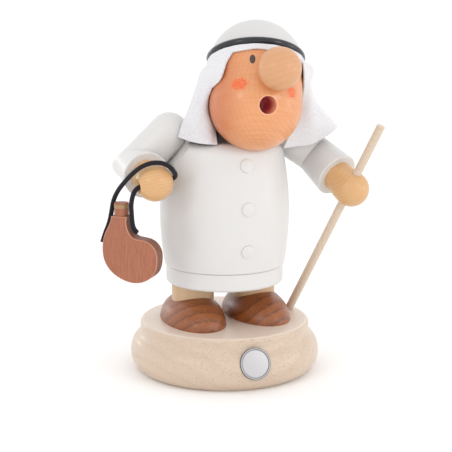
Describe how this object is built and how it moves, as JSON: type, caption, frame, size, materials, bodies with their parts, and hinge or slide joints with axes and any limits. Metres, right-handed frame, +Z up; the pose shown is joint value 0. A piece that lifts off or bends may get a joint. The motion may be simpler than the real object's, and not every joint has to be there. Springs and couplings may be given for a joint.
{
  "type": "incense smoker",
  "caption": "Turned wooden incense smoker: a robed traveller with a cloth headdress, staff and hanging flask on a round plinth; the upper body lifts off over a cone tray.",
  "frame": {"origin": "middle of the plinth's underside, where the figure stands", "axes": "+Z up, the figure faces -Y, +X is the figure's left-hand side"},
  "size_m": [0.1276, 0.1035, 0.1682],
  "materials": {
    "light_wood": "bare turned beech, satin",
    "brown_wood": "brown stained wood with dark grain",
    "white_lacquer": "white lacquered wood, semi-gloss",
    "ochre_wood": "clear ochre varnished wood",
    "face_wood": "flesh-coloured varnished wood with painted eyes and cheeks",
    "white_cloth": "soft white cloth",
    "black_ring": "black gloss",
    "black_lace": "matte black lace",
    "red_wood": "red-brown varnished wood",
    "brass_band": "dull brass",
    "bright_metal": "bright embossed metal",
    "tray_metal": "pressed sheet metal"
  },
  "bodies": {
    "base": {"plinth": "light_wood", "badge": "bright_metal", "right_shoe": "brown_wood", "left_shoe": "brown_wood", "right_leg": "light_wood", "left_leg": "light_wood", "leg_dowels": "light_wood", "hem_block": "white_lacquer", "cone_tray": "tray_metal", "tray_pin": "tray_metal"},
    "figure": {"staff": "light_wood", "cap_dowel": "light_wood", "neck_tube": "light_wood", "shoulder_dowels": "light_wood", "elbow_dowels": "light_wood", "robe": "white_lacquer", "cap": "white_lacquer", "right_upper_arm": "white_lacquer", "left_upper_arm": "white_lacquer", "right_sleeve": "white_lacquer", "left_sleeve": "white_lacquer", "upper_button": "white_lacquer", "middle_button": "white_lacquer", "lower_button": "white_lacquer", "right_hand": "ochre_wood", "left_hand": "ochre_wood", "nose": "ochre_wood", "head": "face_wood", "headcloth": "white_cloth", "head_ring": "black_ring"},
    "flask": {"flask": "red_wood", "flask_stopper": "red_wood", "stopper_band": "brass_band", "flask_strap": "black_lace"}
  },
  "joints": [
    {"name": "robe_lift", "type": "slide", "parent": "base", "child": "figure", "axis": [0, 0, 1], "range_m": [0, 0.045]},
    {"name": "flask_swing", "type": "hinge", "parent": "figure", "child": "flask", "pos_m": [-0.0415, -0.02047, 0.09611], "axis": [0.9903, 0, 0.1392], "range_deg": [-25, 25]}
  ]
}
